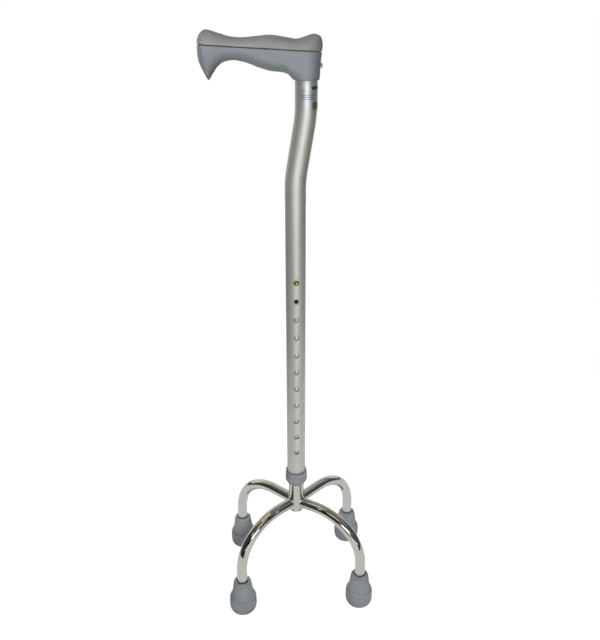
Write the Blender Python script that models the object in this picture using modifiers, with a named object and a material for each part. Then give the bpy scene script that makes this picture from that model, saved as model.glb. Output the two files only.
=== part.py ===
"""Small-base quad cane: a swan-neck aluminium tube telescopes over a chromed stem with four legs.

Units are metres, +Z is up. The stem's axis stands at (STEM_X, STEM_Y), and the feet rest on z = 0.
The handle's nose points to -X, and the height holes face -Y.
"""
import math

import bpy
import bmesh
import numpy as np
from mathutils import Matrix, Vector

GAP = 0.0003

# Outer tube: one inch aluminium, bent into a shallow swan neck under the handle
TUBE_RADIUS = 0.0127
TUBE_WALL = 0.0016
TUBE_FOOT_Z = 0.1862
TUBE_TOP_Z = 0.760
NECK_OFFSET = 0.0124
LOWER_BEND_Z = 0.621
UPPER_BEND_Z = 0.694
TUBE_BEND_RADIUS = 0.140

# Height holes, from the one the button stands in at the shortest setting
HOLE_PITCH = 0.0254
HOLE_COUNT = 11
HOLE_RADIUS = 0.0035
BUTTON_Z = 0.4934

# Stem: the chromed inner tube
STEM_RADIUS = 0.0107
STEM_WALL = 0.0012
STEM_FOOT_Z = 0.1325
STEM_ABOVE_BUTTON = 0.020

# Snap button and its V spring
BUTTON_RADIUS = 0.00315
BUTTON_REACH = 0.0152
DOME_HEIGHT = 0.0021
BUTTON_NECK_RADIUS = 0.0012
LEAF_FRONT = 0.0085
LEAF_THICK = 0.0006
LEAF_WIDTH = 0.007
SPRING_DROP = 0.036
SPRING_BEND_RADIUS = 0.0035

# Base: four bent legs welded round the stem
BASE_LENGTH = 0.172
BASE_WIDTH = 0.138
BASE_SHIFT_X = 0.0035
BASE_SHIFT_Y = 0.014
LEG_RADIUS = 0.0075
LEG_WALL = 0.0012
LEG_JOINT_Z = 0.1456
LEG_BEND_RADIUS = 0.075
LEG_DROOP = math.radians(2.0)
LEG_FOOT_Z = 0.0096
WELD_RADIUS = 0.0014

# Ferrules: rubber feet with a steel washer at the bottom of the socket
FERRULE_RADIUS = 0.0196
FERRULE_NECK = 0.0128
FERRULE_TOP_Z = 0.051
SHOULDER_Z = 0.0275
SHOULDER_RADIUS = 0.0156
SOCKET_RADIUS = LEG_RADIUS + GAP
SOCKET_FLOOR_Z = 0.007
WASHER_THICK = 0.002

# Collar on the outer tube's lower end
COLLAR_RADIUS = 0.0154
COLLAR_FOOT_Z = 0.1811
COLLAR_TOP_Z = 0.2024

# Handle, measured from the neck's axis and from the rim of its socket
LIP_Z = 0.7318
NOSE_REACH = 0.1191
TAIL_REACH = 0.0181
NECK_RADIUS = 0.0156
SEAM_AT_NECK = 0.0301
SEAM_SLOPE = -0.0545
SEAM_GROOVE = 0.0006
SHELL_WALL = 0.0026
TONGUE_INSET = 0.0015
TONGUE_HEIGHT = 0.0012
RIB_THICK = 0.0018
UPPER_RIBS = (-0.0980, -0.0600, -0.0120)
LOWER_RIBS = (-0.0600,)
PIN_PLACES = (-0.0840, -0.0360)
PIN_RADIUS = 0.0015
PIN_DEPTH = 0.006
SCREW_Z = 0.0148
SCREW_SEAT = 0.0167
SCREW_HEAD_RADIUS = 0.0032
SCREW_TIP = 0.0076

# Label film round the neck of the tube
LABEL_LOW_Z = 0.6993
LABEL_HIGH_Z = 0.7304
LABEL_START = math.radians(-43.0)
LABEL_TURN = math.radians(200.0)
LABEL_THICK = 0.0002

# The bounding box's middle is the frame's origin
REACH_LEFT = NOSE_REACH - NECK_OFFSET
REACH_RIGHT = BASE_SHIFT_X + BASE_LENGTH / 2 + FERRULE_RADIUS
STEM_X = (REACH_LEFT - REACH_RIGHT) / 2
STEM_Y = -BASE_SHIFT_Y

FINISHES = {
    "aluminium": ((0.62, 0.62, 0.60), 0.32, 1.0),
    "chrome": ((0.78, 0.78, 0.77), 0.06, 1.0),
    "brass": ((0.60, 0.42, 0.17), 0.28, 1.0),
    "spring_steel": ((0.32, 0.32, 0.33), 0.35, 1.0),
    "zinc_steel": ((0.55, 0.56, 0.57), 0.30, 1.0),
    "warm_grey_plastic": ((0.26, 0.26, 0.23), 0.45, 0.0),
    "cool_grey_plastic": ((0.20, 0.22, 0.24), 0.45, 0.0),
    "collar_plastic": ((0.19, 0.21, 0.21), 0.50, 0.0),
    "plug_plastic": ((0.05, 0.05, 0.05), 0.55, 0.0),
    "rubber": ((0.21, 0.23, 0.23), 0.75, 0.0),
    "silver_film": ((0.66, 0.67, 0.68), 0.25, 0.8),
}


def clear_scene():
    for thing in list(bpy.data.objects):
        bpy.data.objects.remove(thing, do_unlink=True)


def new_collection(name):
    group = bpy.data.collections.new(name)
    bpy.context.scene.collection.children.link(group)
    return group


def finish(name):
    """The Principled material of one finish, made once."""
    made = bpy.data.materials.get(name)
    if made:
        return made
    colour, roughness, metallic = FINISHES[name]
    made = bpy.data.materials.new(name)
    made.use_nodes = True
    shader = made.node_tree.nodes["Principled BSDF"]
    shader.inputs["Base Color"].default_value = (*colour, 1.0)
    shader.inputs["Roughness"].default_value = roughness
    shader.inputs["Metallic"].default_value = metallic
    return made


def place(name, mesh, group, parent, location=(0, 0, 0), look=None):
    """One object from a mesh, parented and placed."""
    thing = bpy.data.objects.new(name, mesh)
    group.objects.link(thing)
    thing.parent = parent
    thing.location = location
    if look:
        mesh.materials.append(finish(look))
    return thing


def guide(name, parent, location):
    """An empty that carries a body of the cane."""
    empty = bpy.data.objects.new(name, None)
    empty.empty_display_size = 0.03
    empty.parent = parent
    empty.location = location
    bpy.context.scene.collection.objects.link(empty)
    return empty


def cutter(name, mesh, group, parent, location=(0, 0, 0)):
    tool = place(name, mesh, group, parent, location)
    tool.hide_render = True
    tool.display_type = "WIRE"
    return tool


def boolean(thing, tool, operation="DIFFERENCE"):
    step = thing.modifiers.new(operation.lower() + "_" + tool.name, "BOOLEAN")
    step.operation = operation
    step.solver = "EXACT"
    step.object = tool
    return step


def smooth(mesh, degrees=35):
    mesh.shade_smooth()
    mesh.set_sharp_from_angle(angle=math.radians(degrees))


def mesh_from(name, build):
    """A mesh filled by a function that works on its bmesh."""
    mesh = bpy.data.meshes.new(name)
    work = bmesh.new()
    build(work)
    work.to_mesh(mesh)
    work.free()
    return mesh


def cylinder(name, radius, start, end, sides=24):
    """A closed cylinder between two points."""
    start, end = Vector(start), Vector(end)
    axis = end - start
    turn = Vector((0, 0, 1)).rotation_difference(axis).to_matrix().to_4x4()
    pose = Matrix.Translation((start + end) / 2) @ turn

    def build(work):
        bmesh.ops.create_cone(work, cap_ends=True, segments=sides, radius1=radius,
                              radius2=radius, depth=axis.length, matrix=pose)

    return mesh_from(name, build)


def box(name, low, high):
    low, high = Vector(low), Vector(high)
    size = Matrix.Diagonal((*(high - low), 1.0))

    def build(work):
        bmesh.ops.create_cube(work, size=1.0, matrix=Matrix.Translation((low + high) / 2) @ size)

    return mesh_from(name, build)


def turned(name, profile, group, parent, location, look, sides, closed=False):
    """A piece turned about its own Z axis from a profile of (radius, height)."""
    count = len(profile)
    edges = [(i, i + 1) for i in range(count - 1)] + ([(count - 1, 0)] if closed else [])
    mesh = bpy.data.meshes.new(name)
    mesh.from_pydata([(r, 0.0, z) for r, z in profile], edges, [])
    thing = place(name, mesh, group, parent, location, look)
    lathe = thing.modifiers.new("turned", "SCREW")
    lathe.axis = "Z"
    lathe.angle = math.tau
    lathe.steps = sides
    lathe.render_steps = sides
    lathe.use_merge_vertices = True
    lathe.merge_threshold = 0.00001
    lathe.use_smooth_shade = False
    return thing


def arc(centre, radius, start, end, count):
    """Points on an arc in a plane, angles in radians, ends included."""
    return [(centre[0] + radius * math.cos(a), centre[1] + radius * math.sin(a))
            for a in np.linspace(start, end, count)]


def tube_mesh(name, path, radius, sides, ring=False):
    """A solid round bar along a path, with welded caps or joined end to end as a ring."""
    curve = bpy.data.curves.new(name, "CURVE")
    curve.dimensions = "3D"
    curve.bevel_depth = radius
    curve.bevel_resolution = sides // 2 - 2
    curve.use_fill_caps = True
    spline = curve.splines.new("POLY")
    spline.points.add(len(path) - 1)
    for point, place_at in zip(spline.points, path):
        point.co = (*place_at, 1.0)
    spline.use_cyclic_u = ring
    holder = bpy.data.objects.new(name, curve)
    bpy.context.scene.collection.objects.link(holder)
    bpy.context.view_layer.update()
    shape = holder.evaluated_get(bpy.context.evaluated_depsgraph_get())
    mesh = bpy.data.meshes.new_from_object(shape)
    bpy.data.objects.remove(holder)
    work = bmesh.new()
    work.from_mesh(mesh)
    bmesh.ops.remove_doubles(work, verts=work.verts, dist=0.00001)
    work.to_mesh(mesh)
    work.free()
    mesh.name = name
    return mesh


def strip(name, path, width, axis):
    """An open surface: a path swept by a width along an axis, centred on the path."""
    side = Vector(axis) * width / 2
    count = len(path)
    points = [Vector(p) - side for p in path] + [Vector(p) + side for p in path]
    faces = [(i, i + 1, count + i + 1, count + i) for i in range(count - 1)]
    mesh = bpy.data.meshes.new(name)
    mesh.from_pydata([tuple(p) for p in points], [], faces)
    return mesh


def thicken(thing, thickness, offset):
    skin = thing.modifiers.new("thickness", "SOLIDIFY")
    skin.thickness = thickness
    skin.offset = offset
    skin.use_even_offset = True
    return skin


# Base

def leg_feet():
    """Each foot's place from the stem's axis, by name."""
    sides = {"left": BASE_SHIFT_X - BASE_LENGTH / 2, "right": BASE_SHIFT_X + BASE_LENGTH / 2}
    rows = {"front": BASE_SHIFT_Y - BASE_WIDTH / 2, "rear": BASE_SHIFT_Y + BASE_WIDTH / 2}
    return {f"{row}_{side}": Vector((sides[side], rows[row], 0.0)) for row in rows for side in sides}


def leg_path(reach, start, foot):
    """Centre line of a leg in its own plane: out from the stem, then down through one bend."""
    straight = reach - LEG_BEND_RADIUS * (1 - math.sin(LEG_DROOP))
    bend_x = reach - LEG_BEND_RADIUS
    bend_z = LEG_JOINT_Z - math.tan(LEG_DROOP) * straight - LEG_BEND_RADIUS * math.cos(LEG_DROOP)
    bend = arc((bend_x, bend_z), LEG_BEND_RADIUS, math.pi / 2 - LEG_DROOP, 0.0, 9)
    first = (start, LEG_JOINT_Z - math.tan(LEG_DROOP) * start)
    return [(x, 0.0, z) for x, z in [first, *bend, (reach, foot)]]


def weld_bead(name):
    """A bead along the saddle where a leg's surface meets the stem's surface."""
    path = []
    around = LEG_RADIUS + WELD_RADIUS * 0.4
    for turn in np.linspace(0, math.tau, 13)[:-1]:
        across, rise = around * math.cos(turn), around * math.sin(turn)
        out = math.sqrt(STEM_RADIUS ** 2 - across ** 2) + WELD_RADIUS * 0.35
        path.append((out, across, LEG_JOINT_Z - math.tan(LEG_DROOP) * out + rise))
    return tube_mesh(name, path, WELD_RADIUS, 6, ring=True)


def mitre(name, group, parent, bearing, neighbour):
    """A block that fills the neighbour's side of the plane midway between two legs."""
    reach, height = 0.060, 0.030
    middle = math.atan2(math.sin(bearing) + math.sin(neighbour), math.cos(bearing) + math.cos(neighbour))
    left = math.sin(neighbour - bearing) > 0
    low, high = (-GAP / 2, reach) if left else (-reach, GAP / 2)
    block = box(name, (-reach, low, LEG_JOINT_Z - height), (reach, high, LEG_JOINT_Z + height))
    tool = cutter(name, block, group, parent)
    tool.rotation_euler.z = middle
    return tool


def make_legs(parts, cutters, base, stem_cut):
    feet = leg_feet()
    bearings = {name: math.atan2(foot.y, foot.x) for name, foot in feet.items()}
    order = sorted(bearings, key=bearings.get)
    for name, foot in feet.items():
        reach = foot.length
        outer = tube_mesh("leg_" + name, leg_path(reach, 0.002, LEG_FOOT_Z), LEG_RADIUS, 16)
        leg = place("leg_" + name, outer, parts, base, look="chrome")
        leg.rotation_euler.z = bearings[name]
        weld = cutter("weld_" + name, weld_bead("weld_" + name), cutters, base)
        weld.rotation_euler.z = bearings[name]
        boolean(leg, weld, "UNION")
        inner = tube_mesh("leg_bore_" + name, leg_path(reach, 0.001, LEG_FOOT_Z - 0.001),
                          LEG_RADIUS - LEG_WALL, 8)
        bore = cutter("leg_bore_" + name, inner, cutters, base)
        bore.rotation_euler.z = bearings[name]
        boolean(leg, bore)
        boolean(leg, stem_cut)
        here = order.index(name)
        for side in (order[here - 1], order[(here + 1) % len(order)]):
            boolean(leg, mitre(f"mitre_{name}_{side}", cutters, base, bearings[name], bearings[side]))
        smooth(outer)


def ferrule_profile():
    """Outline from the socket's floor, up the bore, over the rim and down the outside."""
    rim = FERRULE_TOP_Z
    neck = FERRULE_NECK
    foot, shoulder = SHOULDER_RADIUS, SHOULDER_Z
    outside = FERRULE_RADIUS
    return [
        (0.0, SOCKET_FLOOR_Z), (SOCKET_RADIUS, SOCKET_FLOOR_Z), (SOCKET_RADIUS, rim - 0.0018),
        (SOCKET_RADIUS + 0.0008, rim - 0.0003), (neck - 0.0026, rim), (neck - 0.0010, rim - 0.0005),
        (neck, rim - 0.0024), (foot, shoulder), (foot + 0.0006, shoulder - 0.0020),
        (outside - 0.0014, shoulder - 0.0036), (outside - 0.0005, shoulder - 0.0052),
        (outside - 0.0002, shoulder - 0.0085), (outside, 0.0085), (outside - 0.0006, 0.0042),
        (outside - 0.0019, 0.0008), (outside - 0.0029, 0.0),
        (0.0132, 0.0), (0.0120, 0.0010), (0.0108, 0.0), (0.0, 0.0),
    ]


def make_feet(parts, base):
    washer_low = SOCKET_FLOOR_Z + GAP
    washer_high = washer_low + WASHER_THICK
    outer = SOCKET_RADIUS - GAP
    washer = [(0.002, washer_high), (outer, washer_high), (outer, washer_low), (0.002, washer_low)]
    for name, foot in leg_feet().items():
        turned("ferrule_" + name, ferrule_profile(), parts, base, foot, "rubber", 20)
        turned("washer_" + name, washer, parts, base, foot, "zinc_steel", 12, closed=True)


def make_stem(parts, cutters, base):
    top = BUTTON_Z + STEM_ABOVE_BUTTON
    bore = STEM_RADIUS - STEM_WALL
    tube = [(STEM_RADIUS, top - 0.0004), (STEM_RADIUS, STEM_FOOT_Z + 0.0004),
            (STEM_RADIUS - 0.0004, STEM_FOOT_Z), (bore, STEM_FOOT_Z), (bore, top),
            (STEM_RADIUS - 0.0004, top)]
    stem = turned("base_stem", tube, parts, base, (0, 0, 0), "chrome", 28, closed=True)
    hole = cylinder("stem_button_hole", HOLE_RADIUS, (0, -0.005, BUTTON_Z), (0, -0.016, BUTTON_Z), 20)
    boolean(stem, cutter("stem_button_hole", hole, cutters, base))
    plug_radius = bore - GAP
    plug = [(0.0, STEM_FOOT_Z + 0.0022), (plug_radius - 0.0018, STEM_FOOT_Z + 0.0022),
            (plug_radius - 0.0018, STEM_FOOT_Z + 0.011), (plug_radius - 0.0004, STEM_FOOT_Z + 0.011),
            (plug_radius, STEM_FOOT_Z + 0.010), (plug_radius, STEM_FOOT_Z + 0.0006),
            (plug_radius - 0.0006, STEM_FOOT_Z), (0.0, STEM_FOOT_Z)]
    turned("stem_plug", plug, parts, base, (0, 0, 0), "plug_plastic", 12)
    wall = cylinder("stem_room", STEM_RADIUS + GAP, (0, 0, STEM_FOOT_Z - 0.02), (0, 0, 0.2), 48)
    return cutter("stem_room", wall, cutters, base)


# Snap button

def make_button(parts, cutters, base, slide):
    rim = BUTTON_REACH - DOME_HEIGHT
    dome = [(x * BUTTON_RADIUS, rim + y * DOME_HEIGHT) for x, y in arc((0, 0), 1.0, math.pi / 2, 0.0, 5)]
    shank = LEAF_FRONT + GAP
    neck = BUTTON_NECK_RADIUS
    tail = LEAF_FRONT - LEAF_THICK - GAP
    profile = [*dome, (BUTTON_RADIUS, shank), (neck, shank), (neck, tail), (0.0021, tail),
               (0.0021, tail - 0.0007), (0.0, tail - 0.0007)]
    button = turned("snap_button", profile, parts, slide, (0, 0, 0), "brass", 16)
    button.rotation_euler.x = math.pi / 2

    arm = LEAF_FRONT - LEAF_THICK / 2
    turn = SPRING_BEND_RADIUS
    bend = arc((0.0, -SPRING_DROP + turn), turn, math.pi + 0.16, math.tau - 0.16, 7)
    line = [(-arm, 0.006), (-arm, -0.006), *bend, (arm, -0.001), (arm, 0.005)]
    sheet = strip("button_spring", [(0.0, y, z) for y, z in line], LEAF_WIDTH, (1, 0, 0))
    spring = place("button_spring", sheet, parts, base, (0, 0, BUTTON_Z), "spring_steel")
    thicken(spring, LEAF_THICK, 0.0)
    hole = cylinder("leaf_hole", neck + GAP, (0, -LEAF_FRONT - 0.002, 0), (0, -LEAF_FRONT + 0.003, 0), 16)
    boolean(spring, cutter("leaf_hole", hole, cutters, base, (0, 0, BUTTON_Z)))


# Tube and collar

def swan_neck(foot, top):
    """The tube's centre line: straight, leaning through two equal bends, and straight again."""
    lean = math.atan2(NECK_OFFSET, UPPER_BEND_Z - LOWER_BEND_Z)
    tangent = TUBE_BEND_RADIUS * math.tan(lean / 2)
    low = arc((TUBE_BEND_RADIUS, LOWER_BEND_Z - tangent), TUBE_BEND_RADIUS, math.pi, math.pi - lean, 4)
    high = arc((NECK_OFFSET - TUBE_BEND_RADIUS, UPPER_BEND_Z + tangent), TUBE_BEND_RADIUS, -lean, 0.0, 4)
    return [(x, 0.0, z) for x, z in [(0.0, foot), *low, *high, (NECK_OFFSET, top)]]


def make_tube(parts, cutters, upper):
    outer = tube_mesh("outer_tube", swan_neck(TUBE_FOOT_Z, TUBE_TOP_Z), TUBE_RADIUS, 24)
    tube = place("outer_tube", outer, parts, upper, look="aluminium")
    inner = tube_mesh("tube_bore", swan_neck(TUBE_FOOT_Z - 0.002, TUBE_TOP_Z + 0.002),
                      TUBE_RADIUS - TUBE_WALL, 24)
    boolean(tube, cutter("tube_bore", inner, cutters, upper))

    def drill(work):
        for row in range(HOLE_COUNT):
            spot = Matrix.Translation((0, -TUBE_RADIUS, BUTTON_Z - row * HOLE_PITCH))
            bmesh.ops.create_cone(work, cap_ends=True, segments=14, radius1=HOLE_RADIUS,
                                  radius2=HOLE_RADIUS, depth=0.012,
                                  matrix=spot @ Matrix.Rotation(math.pi / 2, 4, "X"))

    boolean(tube, cutter("height_holes", mesh_from("height_holes", drill), cutters, upper))
    height = LIP_Z + SCREW_Z
    hole = cylinder("tube_screw_hole", 0.00205, (NECK_OFFSET + 0.006, 0, height),
                    (NECK_OFFSET + 0.016, 0, height), 14)
    boolean(tube, cutter("tube_screw_hole", hole, cutters, upper))
    smooth(outer)


def make_collar(parts, upper):
    """Sleeve on the tube's end, whose floor guides the stem."""
    grip = TUBE_RADIUS + GAP
    guide_bore = STEM_RADIUS + GAP
    seat = TUBE_FOOT_Z - GAP
    top, foot = COLLAR_TOP_Z, COLLAR_FOOT_Z
    outside = COLLAR_RADIUS
    profile = [
        (0.0138, top), (outside - 0.0008, top - 0.0005), (outside - 0.0005, top - 0.0016),
        (outside - 0.0006, top - 0.0038), (outside - 0.0010, top - 0.0044), (outside - 0.0003, top - 0.0051),
        (outside - 0.0003, top - 0.0068), (outside - 0.0007, top - 0.0074), (outside, top - 0.0081),
        (outside, foot + 0.0056), (0.0128, foot + 0.0006),
        (0.0120, foot), (guide_bore + 0.0005, foot), (guide_bore, foot + 0.0005),
        (guide_bore, seat), (grip, seat), (grip, top - 0.0008), (0.0133, top),
    ]
    turned("tube_collar", profile, parts, upper, (0, 0, 0), "collar_plastic", 24, closed=True)


def make_label(parts, upper):
    radius = TUBE_RADIUS + GAP
    front = -math.pi / 2
    turns = np.linspace(front + LABEL_START, front + LABEL_START + LABEL_TURN, 16)
    path = [(radius * math.cos(a), radius * math.sin(a), (LABEL_LOW_Z + LABEL_HIGH_Z) / 2) for a in turns]
    film = strip("tube_label", path, LABEL_HIGH_Z - LABEL_LOW_Z, (0, 0, 1))
    label = place("tube_label", film, parts, upper, (NECK_OFFSET, 0, 0), "silver_film")
    thicken(label, LABEL_THICK, 1.0)
    smooth(film)


# Handle. Its side outline is two lines over x, from the nose to the tail, and the plan line is
# half its width. Every section is a rounded form between those lines, widest at the seam.

TOP_LINE = [(-0.1191, 0.0300), (-0.1189, 0.0375), (-0.1179, 0.0432), (-0.1146, 0.0487),
            (-0.1093, 0.0517), (-0.0955, 0.0482), (-0.0834, 0.0449), (-0.0714, 0.0438),
            (-0.0555, 0.0451), (-0.0403, 0.0463), (-0.0230, 0.0442), (-0.0108, 0.0424),
            (-0.0020, 0.0446), (0.0085, 0.0473), (0.0142, 0.0457), (0.0172, 0.0417),
            (0.0181, 0.0366)]
BOTTOM_LINE = [(-0.1191, 0.0290), (-0.1187, 0.0230), (-0.1167, 0.0161), (-0.1128, 0.0077),
               (-0.1096, 0.0017), (-0.1081, 0.0002), (-0.1064, 0.0018), (-0.1037, 0.0058),
               (-0.0968, 0.0148), (-0.0903, 0.0190), (-0.0805, 0.0207), (-0.0700, 0.0191),
               (-0.0507, 0.0125), (-0.0400, 0.0095), (-0.0254, 0.0077), (-0.0203, 0.0059),
               (-0.0158, 0.0014), (-0.0140, 0.0), (0.0136, 0.0), (0.0147, 0.0012),
               (0.0153, 0.0050), (0.0162, 0.0200), (0.0171, 0.0287), (0.0181, 0.0355)]
PLAN_LINE = [(-0.1100, 0.0125), (-0.0900, 0.0134), (-0.0720, 0.0138), (-0.0400, 0.0160),
             (-0.0150, 0.0160), (0.0, 0.0160)]
FLARE_HEIGHTS = [0.0, 0.0012, 0.0057, 0.0075]
FLARE_REACHES = [0.0142, 0.0160, 0.0206, 0.0262]
NOSE_ROUND = 0.0091
LIP_ROUND = 0.0012
END_FACE = 0.0002
INNER_TRIM = 0.001


def through(points):
    """A smooth line through points, which never swings past them."""
    x, y = np.array(points).T
    step = np.diff(x)
    slope = np.diff(y) / step
    tangent = np.zeros(len(x))
    tangent[0], tangent[-1] = slope[0], slope[-1]
    for i in range(1, len(x) - 1):
        if slope[i - 1] * slope[i] > 0:
            near, far = step[i] * 2 + step[i - 1], step[i] + step[i - 1] * 2
            tangent[i] = (near + far) / (near / slope[i - 1] + far / slope[i])

    def line(at):
        i = int(np.clip(np.searchsorted(x, at) - 1, 0, len(step) - 1))
        t = float(np.clip((at - x[i]) / step[i], 0, 1))
        start = (1 + 2 * t) * (1 - t) ** 2 * y[i] + t * (1 - t) ** 2 * step[i] * tangent[i]
        end = t * t * (3 - 2 * t) * y[i + 1] - t * t * (1 - t) * step[i] * tangent[i + 1]
        return start + end

    return line


top_line = through(TOP_LINE)
bottom_line = through(BOTTOM_LINE)
plan_line = through(PLAN_LINE)


def seam_height(x):
    return SEAM_AT_NECK + SEAM_SLOPE * x


def ease(value, low, high):
    t = min(max((value - low) / (high - low), 0.0), 1.0)
    return t * t * (3 - 2 * t)


def round_off(depth, radius, power=2.3):
    """0 at the edge, rising to 1 at one radius in."""
    t = min(max(depth / radius, 0.0), 1.0)
    return (1 - (1 - t) ** power) ** (1 / power)


def half_width(x, z):
    """Half the handle's width at a place, before its keel and crown are rounded."""
    nose = -NOSE_REACH - END_FACE
    if x < nose + NOSE_ROUND:
        return plan_line(nose + NOSE_ROUND) * round_off(x - nose, NOSE_ROUND)
    fullness = ease(z, 0.010, 0.0365)
    width = NECK_RADIUS + (plan_line(0) - NECK_RADIUS) * fullness
    if x > 0:
        reach = NECK_RADIUS + (TAIL_REACH + END_FACE - NECK_RADIUS) * fullness
        return width * math.sqrt(max(1 - (x / reach) ** 2, 0.0))
    near = ease(x, -0.050, 0.0)
    above = max(z - FLARE_HEIGHTS[-1], 0.0)
    flare = np.interp(z, FLARE_HEIGHTS, FLARE_REACHES) + 8 * above + 1500 * above ** 2
    drawn_in = min(-x / flare, 1.0) ** 2 * ease(x, -0.070, -0.040)
    return (plan_line(x) * (1 - near) + width * near) * math.sqrt(1 - drawn_in)


def lean(line, x):
    """How much thicker an even wall along a sloping line is when it's measured upright."""
    reach = 0.0004
    slope = (line(x + reach) - line(x - reach)) / (2 * reach)
    return min(math.hypot(1, slope), 4.0)


def section(x, inset, rows):
    """Points up one side of the handle at x, from its keel to its crown, as (y, z)."""
    at = x * TAIL_REACH / (TAIL_REACH - inset) if x > 0 else x
    low, high = bottom_line(at), top_line(at)
    seam = min(max(seam_height(at), low), high)
    beak = 1 - ease(at, -0.100, -0.085)
    lip = ease(at, -0.026, -0.013)
    low_round = 0.024 * beak + 0.0125 * (1 - beak) * (1 - lip) + LIP_ROUND * lip
    high_round = max(0.92 * (high - seam), 0.001)
    under, over, beside = inset, inset, inset
    if x < 0:
        under *= lean(bottom_line, at)
        over *= lean(top_line, at)
        beside *= lean(lambda place: half_width(place, seam), at)
    narrower = max(1 - beside / half_width(at, seam), 0.05)
    points = [(0.0, low + under)]
    for row in range(rows + 1):
        rise = math.cos(math.pi * row / rows)
        z = low + (seam - low) * (1 - rise) if rise > 0 else seam - (high - seam) * rise
        y = half_width(at, z)
        flat = lip * max(1 - LIP_ROUND / max(y, LIP_ROUND), 0.0)
        y *= flat + (1 - flat) * round_off(z - low, low_round)
        y *= round_off(high - z, high_round)
        points.append((y * narrower, low + under + (z - low) * (high - low - under - over) / (high - low)))
    return [*points, (0.0, high - over)]


def slices(inset, fine):
    """Places along the handle, closer together at both ends, the beak and the socket."""
    marks = [(-NOSE_REACH, -0.1081, 6), (-0.1081, -0.0920, 5), (-0.0920, -0.0300, 7),
             (-0.0300, -0.0110, 6), (-0.0110, 0.0120, 3), (0.0120, TAIL_REACH, 6)]
    places = []
    for start, end, count in marks:
        count = max(2, round(count * fine))
        for step in range(count):
            t = step / count
            if start == -NOSE_REACH:
                t = 1 - math.cos(t * math.pi / 2)
            if end == TAIL_REACH:
                t = math.sin(t * math.pi / 2)
            places.append(start + (end - start) * t)
    places.append(TAIL_REACH)
    return [x * (TAIL_REACH - inset) / TAIL_REACH if x > 0 else x for x in places]


def handle_form(name, inset=0.0, fine=1.0, rows=12, end=TAIL_REACH):
    """The closed outer form of the handle, or one inset from it with both ends trimmed flat."""
    places = slices(inset, fine)
    if inset > 0:
        first = -NOSE_REACH + inset + INNER_TRIM
        last = min(end, TAIL_REACH - inset - INNER_TRIM)
        places = [first, *[x for x in places if first + 0.0005 < x < last - 0.0005], last]

    def build(work):
        rings = []
        for x in places:
            side = section(x, inset, rows)
            right = [work.verts.new((x, -y, z)) for y, z in side]
            left = [work.verts.new((x, y, z)) for y, z in reversed(side[1:-1])]
            rings.append(right + left)
        around = len(rings[0])
        for a, b in zip(rings[:-1], rings[1:]):
            for i in range(around):
                j = (i + 1) % around
                work.faces.new((a[i], b[i], b[j], a[j]))
        work.faces.new(rings[0])
        work.faces.new(list(reversed(rings[-1])))
        bmesh.ops.remove_doubles(work, verts=work.verts, dist=0.00003)
        bmesh.ops.recalc_face_normals(work, faces=work.faces)

    return mesh_from(name, build)


def seam_slab(name, low, high):
    """A block along the sloping seam, between two heights above it."""
    reach = 0.2
    mesh = box(name, (-reach, -reach, low), (reach, reach, high))
    tilt = Matrix.Rotation(-math.atan(SEAM_SLOPE), 4, "Y")
    mesh.transform(Matrix.Translation((0, 0, SEAM_AT_NECK)) @ tilt)
    return mesh


def inner_form(name, group, parent, inset, low, high, **limits):
    """The form inset from the handle's outside, between two heights above the seam."""
    form = cutter(name, handle_form(name, inset, **limits), group, parent)
    slab = cutter(name + "_slab", seam_slab(name + "_slab", low, high), group, parent)
    boolean(form, slab, "INTERSECT")
    return form


def posts(name, group, parent, radius, low, high):
    """Upright round posts at the handle's two pin places, between two heights lines."""

    def build(work):
        for x in PIN_PLACES:
            start, end = low(x), high(x)
            bmesh.ops.create_cone(work, cap_ends=True, segments=14, radius1=radius, radius2=radius,
                                  depth=end - start, matrix=Matrix.Translation((x, 0, (start + end) / 2)))

    return cutter(name, mesh_from(name, build), group, parent)


def cross_ribs(name, group, parent, places, low, high):
    """Thin webs across the hollow, which run a little into the wall round them."""

    def build(work):
        for x in places:
            size = Matrix.Diagonal((RIB_THICK, 0.1, 0.2, 1.0))
            bmesh.ops.create_cube(work, size=1.0, matrix=Matrix.Translation((x, 0, SEAM_AT_NECK)) @ size)

    webs = cutter(name, mesh_from(name, build), group, parent)
    limit = inner_form(name + "_limit", group, parent, SHELL_WALL / 2, low, high, fine=0.6, rows=10)
    boolean(webs, limit, "INTERSECT")
    return webs


def make_upper_shell(parts, group, handle, groove):
    name = "handle_upper_shell"
    shell = place(name, handle_form(name), parts, handle, look="warm_grey_plastic")
    boolean(shell, cutter("above_seam", seam_slab("above_seam", GAP / 2, 0.1), group, handle), "INTERSECT")
    rebate = inner_form("rebate", group, handle, TONGUE_INSET - GAP, -0.01, TONGUE_HEIGHT + GAP,
                        fine=0.7, rows=10)
    hollow = inner_form("upper_hollow", group, handle, SHELL_WALL, -0.01, 0.1, fine=0.5, rows=8)
    pins = posts("pins", group, handle, PIN_RADIUS, lambda x: seam_height(x) - PIN_DEPTH,
                 lambda x: top_line(x) - SHELL_WALL / 2)
    boolean(shell, groove)
    boolean(shell, rebate)
    boolean(shell, hollow)
    boolean(shell, cross_ribs("upper_ribs", group, handle, UPPER_RIBS, 0.0030, 0.1), "UNION")
    boolean(shell, pins, "UNION")
    smooth(shell.data)


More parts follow.
